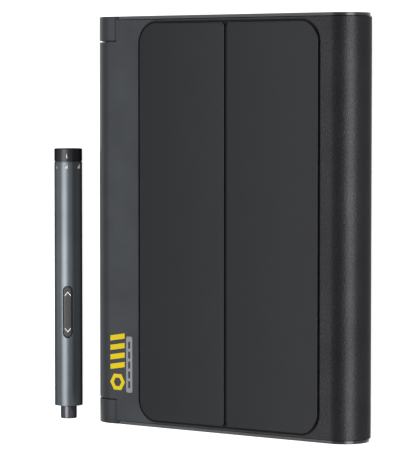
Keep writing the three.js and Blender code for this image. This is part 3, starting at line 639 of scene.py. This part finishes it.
def base_cap_section(inset):
    radius = EDGE_RADIUS - CAP_INSET - inset
    top = BASE_TOP - inset
    left = ARM_END + GAP + inset
    points = arc(NOSE_X, MID_Z, radius, -90, nose_angle(radius, top), 32)
    return points + [(left, top), (left, MID_Z - radius)]


def make_end_caps():
    inner_edge, rim = 0.1, 0.22
    for end, side in (("top", 1), ("bottom", -1)):
        y0, y1 = between(side * (SKIN_HALF + GAP), side * HALF_LENGTH)
        edges = (inner_edge, rim) if side > 0 else (rim, inner_edge)
        lid_cap = along_y(f"lid_cap_{end}", lid_cap_section, y0, y1, CAP, *edges)
        finish_piece(lid_cap, "lid", [f"lid_end_cap_{end}"])
        base_cap = along_y(f"base_cap_{end}", base_cap_section, y0, y1, CAP, *edges)
        finish_piece(base_cap, "case_base", [f"base_end_cap_{end}"])


def make_base():
    """The base's skin, cut back for the barrel, the knuckles' arms and the screws."""
    inner_radius = EDGE_RADIUS - SKIN
    outer = arc(NOSE_X, MID_Z, EDGE_RADIUS, -90, nose_angle(EDGE_RADIUS, BASE_TOP), 40)
    inner = arc(NOSE_X, MID_Z, inner_radius, nose_angle(inner_radius, BASE_TOP), -90, 40)
    section = [(AXIS_X, FOOT_HEIGHT)] + outer + inner + [(AXIS_X, FOOT_HEIGHT + SKIN)]
    loops = [[(x, y, z) for x, z in section] for y in (-SKIN_HALF, SKIN_HALF)]
    shell = from_loops("base_skin", loops, COVER)
    end = SKIN_HALF + 1
    profile = [(0, -end), (SWEEP_RADIUS, -end), (SWEEP_RADIUS, end), (0, end)]
    carve(shell, lathe("sweep", profile, COVER, AXIS_X, MID_Z, 180))
    for side in (1, -1):
        y0, y1 = between(side * (KNUCKLE_START - GAP), side * end)
        corner = [(AXIS_X - 5, y0), (ARM_END + GAP, y0), (ARM_END + GAP, y1), (AXIS_X - 5, y1)]
        carve(shell, from_loops("corner", [at_height(corner, z) for z in (0, 10)], COVER))
    screw_hole = 2.5
    for number in range(1, 5):
        low, high = box_mm(f"base_screw_{number}")
        x, y = (low[0] + high[0]) / 2, (low[1] + high[1]) / 2
        hole = arc(x, y, screw_hole, 0, 345, 23)
        carve(shell, from_loops("hole", [at_height(hole, z) for z in (0, 10)], COVER))
    soften(shell, 0.15)
    finish_piece(shell, "case_base", ["base_shell"])


# ---------------------------------------------------------------- case: folding stand


def tape(name, node, x0, x1, half, z, bodies, turn_x):
    """A thin strip of tape from x0 to x1 with its top at z, which bends between two bodies at turn_x."""
    columns, thickness, reach = 20, 0.15, 0.5
    loops = []
    for i in range(columns + 1):
        x = x0 + (x1 - x0) * i / columns
        loops.append([(x, -half, z - thickness), (x, half, z - thickness), (x, half, z), (x, -half, z)])
    strip = from_loops(name, loops, RUBBER)
    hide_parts(node)
    start, end = (Vector((turn_x + side * reach, 0, z)) * MM for side in (-1, 1))
    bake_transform(strip, *bodies, start=start, end=end)


def make_stand():
    leaves = (
        ("left", left_low, left_high, [LEAF_OUTER, LEAF_INNER, LEAF_INNER, LEAF_OUTER]),
        ("right", right_low, right_high, [LEAF_INNER, LEAF_OUTER, LEAF_OUTER, LEAF_INNER]),
    )
    for side, low, high, radii in leaves:
        x0, x1 = low[0], min(high[0], LEAF_RIGHT)

        def outline(inset, x0=x0, x1=x1, radii=radii):
            return rounded_rect(x0, x1, -LEAF_HALF, LEAF_HALF, radii, inset, 16)

        leaf = plate(f"leaf_{side}", outline, low[2], high[2], SOFT, 0.15, 0.42, 5)
        # the sides and rounded edges take the darker edge colour, painted shade for the groove round the
        # stand
        paint(leaf, EDGE_GLOSS_AND_PAINTED_SHADE, lambda face: abs(face.normal.z) < 0.99)
        finish_piece(leaf, f"{side}_leaf", [f"stand_{side}_leaf"])

    fold = right_low[0]
    under = left_low[2] - 0.05
    bodies = ("left_leaf", "right_leaf")
    tape("crease_tape", "stand_crease_tape", fold - 5, fold + 3, LEAF_HALF - 2, under, bodies, fold)
    root_high = box_mm("stand_root_tape")[1]
    root = left_low[0]
    half, top = root_high[1], root_high[2] - 0.1
    bodies = ("lid", "left_leaf")
    tape("root_tape", "stand_root_tape", root - 0.7, root + 3, half, top, bodies, root)


# ---------------------------------------------------------------- case: printed marks


def decal(name, outline, z, mat, body, height=0.05):
    """A thin printed shape that stands height above the surface at z."""
    loops = [at_height(outline, z - 0.05), at_height(outline, z + height)]
    finish_piece(from_loops(name, loops, mat), body)


def make_marks():
    """Plain printed shapes on the spine: a nut outline, slanted bars and a small tag."""
    z = TOP_Z
    x0, x1 = -72.3, -62.4  # both sides of the nut and the bars
    nut_x, nut_y, nut_outer, nut_inner = (x0 + x1) / 2, -89.5, 5.1, 2.7
    for name, start in (("mark_nut_a", 0), ("mark_nut_b", 180)):
        outer = arc(nut_x, nut_y, nut_outer, start, start + 180, 3)
        inner = arc(nut_x, nut_y, nut_inner, start + 180, start, 3)
        decal(name, outer + inner, z, MARK_YELLOW, "lid")
    first_bar, bar_pitch, bar_width, slant = -82.6, 5.3, 2.9, 1.6
    for i in range(4):
        y = first_bar + bar_pitch * i
        bar = [(x0, y), (x1, y + slant), (x1, y + slant + bar_width), (x0, y + bar_width)]
        decal(f"mark_bar_{i + 1}", bar, z, MARK_YELLOW, "lid")
    tag = rounded_rect(-61.3, -57.1, -95, -63.8, [1] * 4, steps=6)
    decal("mark_tag", tag, z, MARK_GREY, "lid", 0.04)
    first_dash, dash_pitch, dash_length = -92.6, 5.5, 4.0
    for i in range(5):
        y = first_dash + dash_pitch * i
        dash = rounded_rect(-59.9, -58.5, y, y + dash_length, [0.5] * 4, steps=4)
        decal(f"mark_dash_{i + 1}", dash, z, PLASTIC, "lid", 0.08)


# ---------------------------------------------------------------- driver


def round_ended(width, length, y, inset=0.0):
    half, reach = width / 2, length / 2
    return rounded_rect(-half, half, y - reach, y + reach, [half] * 4, inset, 14)


def make_barrel():
    y0, y1 = barrel_low[1], barrel_high[1]
    radius, bore = DRIVER_RADIUS, DRIVER_RADIUS - 0.9
    nose, tail, neck_length = 0.2, 0.12, 0.28
    profile = [(bore, y0)]
    profile += [(radius - nose * (1 - math.sin(a)), y0 + nose * (1 - math.cos(a))) for a in quarter(5)]
    profile += [(radius - tail * (1 - math.cos(a)), y1 - tail * (1 - math.sin(a))) for a in quarter(3)]
    neck = radius - 0.35
    profile += [(neck, y1), (neck, y1 + neck_length), (bore, y1 + neck_length)]
    barrel = lathe("barrel", profile, BARREL, steps=144)
    slot = round_ended(ROCKER_WIDTH + 2 * ROCKER_GAP, ROCKER_LENGTH + 2 * ROCKER_GAP, ROCKER_Y)
    cutter = from_loops("slot", [at_height(slot, 3), at_height(slot, 10)], BARREL)
    carve(barrel, cutter)
    soften(barrel, 0.12, 2, 40)
    to_driver(barrel)
    finish_piece(barrel, "driver", ["driver_barrel"])


def make_ring():
    y0, y1 = ring_low[1], ring_high[1]
    radius, bore = DRIVER_RADIUS, 6.1
    low, high = 0.15, 0.5
    profile = [(bore, y0)]
    profile += [(radius - low * (1 - math.sin(a)), y0 + low * (1 - math.cos(a))) for a in quarter(3)]
    profile += [(radius - high * (1 - math.cos(a)), y1 - high * (1 - math.sin(a))) for a in quarter(5)]
    profile += [(bore + 0.2, y1), (bore, y1 - 0.2)]
    ring = to_driver(lathe("selector_ring", profile, DARK, steps=144))
    finish_piece(ring, "torque_ring", ["torque_ring"])
    around_barrel("ring_tick", bar_outline(0.24, 2.2), -3, y1 - 4.4, MARK_PALE, "torque_ring")
    make_levels(y0 - 4.1)


def make_levels(foot_y):
    """Three groups of bars on the barrel, one, two and three of them, each bar longer than the last."""
    pitch, growth = 0.75, 0.75
    for number, angle in ((1, -52), (2, -4), (3, 52)):
        for i in range(number):
            offset = pitch * (i - (number - 1) / 2)
            height = 1.0 + growth * i
            turn = angle + math.degrees(offset / DRIVER_RADIUS)
            bar = bar_outline(0.26, height)
            name = f"level_{number}_{i + 1}"
            around_barrel(name, bar, turn, foot_y + height / 2, MARK_PALE, "driver")


def bar_outline(width, height):
    return rounded_rect(-width / 2, width / 2, -height / 2, height / 2, [0.08] * 4, steps=2)


def around_barrel(name, outline, degrees, y, mat, body):
    """A small printed shape laid on the driver's skin, degrees from the rocker's direction."""
    loops = []
    for radius in (DRIVER_RADIUS - 0.05, DRIVER_RADIUS + 0.03):
        loop = []
        for u, v in outline:
            a = math.radians(degrees) + u / DRIVER_RADIUS
            loop.append((radius * math.sin(a), y + v, radius * math.cos(a)))
        loops.append(loop)
    mark = to_driver(from_loops(name, loops, mat))
    finish_piece(mark, body)


def make_rocker():
    base, top = 6.0, DRIVER_RADIUS - 0.12
    pairs = [(0.0, base), (0.0, top - 0.2)]
    pairs += [(0.2 * (1 - math.cos(a)), top - 0.2 * (1 - math.sin(a))) for a in quarter(4)]
    pairs += [(0.6, top + 0.01), (1.2, top + 0.03)]
    loops = []
    for inset, z in pairs:
        loops.append(at_height(round_ended(ROCKER_WIDTH, ROCKER_LENGTH, ROCKER_Y, inset), z))
    rocker = to_driver(from_loops("rocker", loops, BUTTON))
    finish_piece(rocker, "rocker", ["rocker_button"])
    z = top + 0.03
    reach, rise, stroke = 1.7, 2.1, 0.27
    for name, side in (("chevron_tail", 1), ("chevron_nose", -1)):
        y = ROCKER_Y + side * (ROCKER_LENGTH / 2 - 4.2)
        tip, foot = y + side * rise / 2, y - side * rise / 2
        outline = [
            (-reach, foot + side * stroke), (0, tip + side * stroke), (reach, foot + side * stroke),
            (reach, foot), (0, tip), (-reach, foot),
        ]
        loops = [at_height(outline, z - 0.05), at_height(outline, z + 0.04)]
        mark = from_loops(name, loops, MARK_WHITE)
        finish_piece(to_driver(mark), "rocker")


def make_chuck():
    y0, y1 = chuck_low[1], chuck_high[1]
    radius = (chuck_high[0] - chuck_low[0]) / 2
    shoulder = barrel_low[1] - 0.3
    front, back, stem = 0.5, 0.15, 3.1
    profile = [(0, y0)]
    profile += [(radius - inset, y) for inset, y in edge_profile(y0, shoulder, front, back)]
    profile += [(stem, shoulder), (stem, y1), (0, y1)]
    chuck = lathe("chuck", profile, CHUCK, steps=96)
    socket_depth = 8
    turns = [math.pi / 3 * i for i in range(6)]
    hexagon = [(SOCKET_CORNER * math.cos(a), SOCKET_CORNER * math.sin(a)) for a in turns]
    loops = [[(x, y, z) for x, z in hexagon] for y in (y0 - 1, y0 + socket_depth)]
    carve(chuck, from_loops("socket", loops, CHUCK))
    soften(chuck, 0.1, 2, 40)
    to_driver(chuck)
    finish_piece(chuck, "chuck", ["bit_chuck"])


# ---------------------------------------------------------------- bits


def hexagon_radius(turn, flat):
    """Distance from the axis to a hexagon's side, where flat is its shortest."""
    return flat / math.cos((turn + math.pi / 6) % (math.pi / 3) - math.pi / 6)


def tip_point(kind, turn, share, size):
    """A point of the tip's section, across the bit. share runs from 0 to 1 at the tip's end."""
    taper = 1 - 0.5 * share
    if kind == "cross":
        radius = size * (1 - 0.75 * share) * (0.5 + 0.5 * abs(math.cos(2 * turn)) ** 0.7)
    elif kind == "star":
        radius = size * 0.8 * (1 + 0.16 * math.cos(6 * turn))
    elif kind == "hexagon":
        radius = hexagon_radius(turn, size * 0.72)
    elif kind == "square":
        radius = 0.7 * size * taper / max(abs(math.cos(turn)), abs(math.sin(turn)))
    else:
        return size * math.cos(turn), (1.1 - 0.95 * share) * size * math.sin(turn) * 0.9
    return radius * math.cos(turn), radius * math.sin(turn)


def bit_loops(x, y, z, kind, size):
    """A hexagonal shank that narrows to a neck and a shaped tip, lying along X."""
    turns = [2 * math.pi * i / 24 for i in range(24)]
    shank_end, tip_start, tip_end = 5, 9.5, 13
    rounded_corner = 2.24
    loops = []
    for along, cut in ((-13, 0.82), (-12.6, 1), (shank_end - 0.6, 1), (shank_end, 0.86)):
        rings = [min(hexagon_radius(a, BIT_ACROSS / 2), rounded_corner) * cut for a in turns]
        loops.append([(x + along, y + r * math.cos(a), z + r * math.sin(a)) for r, a in zip(rings, turns)])
    for along, radius in ((shank_end + 1.2, 1.25), (tip_start - 0.4, 1.2)):
        loops.append([(x + along, y + radius * math.cos(a), z + radius * math.sin(a)) for a in turns])
    for i in range(6):
        share = i / 5
        along = tip_start + (tip_end - tip_start) * share
        points = [tip_point(kind, a, share, size) for a in turns]
        loops.append([(x + along, y + u, z + v) for u, v in points])
    return loops


def make_bits():
    kinds = ("cross", "star", "slot", "hexagon", "square")
    smallest, range_of_sizes = 0.75, 0.5
    for number in (1, 2, 3):
        low, high = box_mm(f"bit_set_{number}")
        x = (low[0] + high[0]) / 2
        z = high[2] - BIT_ACROSS / math.sqrt(3)
        bm = bmesh.new()
        bar = rounded_rect(x - 2, x + 2, -98, 98, [0.4] * 4, steps=3)
        add_loops(bm, [at_height(bar, height) for height in (low[2], z - 2.15)])
        for i in range(BITS_PER_RACK):
            kind = kinds[(i + 2 * number) % len(kinds)]
            size = smallest + range_of_sizes * ((i * 5 + number * 3) % 16) / 15
            y = (i - (BITS_PER_RACK - 1) / 2) * BIT_PITCH
            add_loops(bm, bit_loops(x, y, z, kind, size))
        bits = make_object(f"bits_{number}", bm, STEEL)
        bar_top = (z - 2.1) * MM
        paint(bits, DARK, lambda face, top=bar_top: face.center.z < top)
        finish_piece(bits, "case_base", [f"bit_set_{number}"])


# ---------------------------------------------------------------- CAD nodes that keep their shape


def refine(obj, mat):
    """Smooth curves and small edge radii on a CAD node, by modifiers only."""
    mesh = obj.data
    if "custom_normal" in mesh.attributes:
        mesh.attributes.remove(mesh.attributes["custom_normal"])
    mesh.materials.clear()
    mesh.materials.append(mat)
    mesh.polygons.foreach_set("use_smooth", [True] * len(mesh.polygons))
    weld = obj.modifiers.new("weld", "WELD")
    weld.merge_threshold = 0.001 * MM
    flats = obj.modifiers.new("flats", "DECIMATE")
    flats.decimate_type = "DISSOLVE"
    flats.angle_limit = math.radians(0.5)
    soften(obj, 0.12)
    normals = obj.modifiers.new("normals", "WEIGHTED_NORMAL")
    normals.keep_sharp = True


def refine_frame():
    slots = {part["node"]: part["material_slot"] for part in frame["record"]["subparts"]}
    for name, obj in frame["nodes"].items():
        if not obj.hide_render:
            refine(obj, SLOT_MATERIALS[slots[name]])


# ---------------------------------------------------------------- stage, lights, camera


def area_light(name, target, distance, azimuth, elevation, size, power, lit=()):
    """A soft box that faces target, in metres and watts. azimuth turns from +X towards +Y.

    lit limits the light to those objects.
    """
    a, e = math.radians(azimuth), math.radians(elevation)
    away = Vector((math.cos(e) * math.cos(a), math.cos(e) * math.sin(a), math.sin(e)))
    data = bpy.data.lights.new(name, "AREA")
    data.shape = "RECTANGLE"
    data.size, data.size_y = size
    data.energy = power
    light = bpy.data.objects.new(name, data)
    light.location = Vector(target) + away * distance
    light.rotation_euler = away.to_track_quat("Z", "Y").to_euler()
    bpy.context.scene.collection.objects.link(light)
    if lit:
        receivers = bpy.data.collections.new(name)
        for obj in lit:
            receivers.objects.link(obj)
        light.light_linking.receiver_collection = receivers
    return light


def make_floor():
    bm = bmesh.new()
    bmesh.ops.create_grid(bm, x_segments=1, y_segments=1, size=4)
    mesh = bpy.data.meshes.new("floor")
    bm.to_mesh(mesh)
    bm.free()
    floor = bpy.data.objects.new("floor", mesh)
    paper = surface("floor_paper", (0.86, 0.86, 0.86), 0.85, 0.0, 2.0, 0.01, variation=0.005)
    mesh.materials.append(paper)
    bpy.context.scene.collection.objects.link(floor)
    floor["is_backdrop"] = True
    return floor


def make_world():
    world = bpy.data.worlds.new("studio")
    bpy.context.scene.world = world
    world.use_nodes = True
    sky = world.node_tree.nodes["Background"]
    sky.inputs["Color"].default_value = (0.95, 0.97, 1, 1)
    sky.inputs["Strength"].default_value = 1.0


def make_lights(floor):
    """Soft boxes for the light strip and caps, the stand, the rest of the case, the driver and the floor."""
    driver, spine, leaves, case = [], [], [], []
    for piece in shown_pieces():
        if body_of(piece)[0] in DRIVER_BODIES:
            driver.append(piece)
        elif piece.name.startswith(("spine", "knuckle", "lid_cap", "base_cap", "mark")):
            spine.append(piece)
        elif piece.name.startswith("leaf"):
            leaves.append(piece)
        else:
            case.append(piece)
    area_light("cover_box", (0, 0, 0), 0.57, 180, 61, (1.3, 0.14), 3.3, case)
    area_light("stand_box", (0, 0, 0), 0.54, 180, 71, (1.3, 0.12), 2.1, leaves)
    area_light("spine_box", (0, 0, 0), 1.4, 180, 58, (1.4, 0.7), 8, spine)
    area_light("front_box", (0.1, 0, 0), 1.2, 0, 33, (1.4, 0.72), 26, case + spine + leaves)
    middle = (DRIVER_X * MM, -0.04, 0)
    area_light("driver_box", middle, 0.5, 0, 84, (0.6, 0.33), 15.3, driver)
    area_light("driver_left", middle, 0.4, 180, 25, (0.5, 0.34), 2.4, driver)
    driver_right = area_light("driver_right", middle, 0.4, 0, 18, (0.5, 0.26), 1.7, driver)
    driver_right.light_linking.blocker_collection = driver_right.light_linking.receiver_collection
    floor_box = area_light("floor_box", (0, 0, 0), 2.0, 0, 90, (2.5, 2.5), 58, [floor])
    floor_box.light_linking.blocker_collection = floor_box.light_linking.receiver_collection


CAMERA_LENS = 207.9  # millimetres, on a 36 mm sensor; the two places are in metres
CAMERA_PLACE = (0.8129, 0.07245, 1.16771)
CAMERA_TARGET = (-0.02138, -0.00142, 0.015)


def make_camera():
    data = bpy.data.cameras.new("camera")
    data.lens = CAMERA_LENS
    data.sensor_width = 36
    data.clip_end = 20
    camera = bpy.data.objects.new("camera", data)
    place = Vector(CAMERA_PLACE)
    target = Vector(CAMERA_TARGET)
    forward = (target - place).normalized()
    right = forward.cross(Vector((0, 1, 0))).normalized()
    up = right.cross(forward)
    turn = Matrix((right, up, -forward)).transposed()
    camera.matrix_world = Matrix.Translation(place) @ turn.to_4x4()
    bpy.context.scene.collection.objects.link(camera)
    bpy.context.scene.camera = camera


make_camera()
make_spine()
make_cover()
make_end_caps()
make_base()
make_stand()
make_marks()
make_barrel()
make_ring()
make_rocker()
make_chuck()
make_bits()
refine_frame()
bpy.context.scene.view_settings.view_transform = "Standard"
make_world()
make_lights(make_floor())
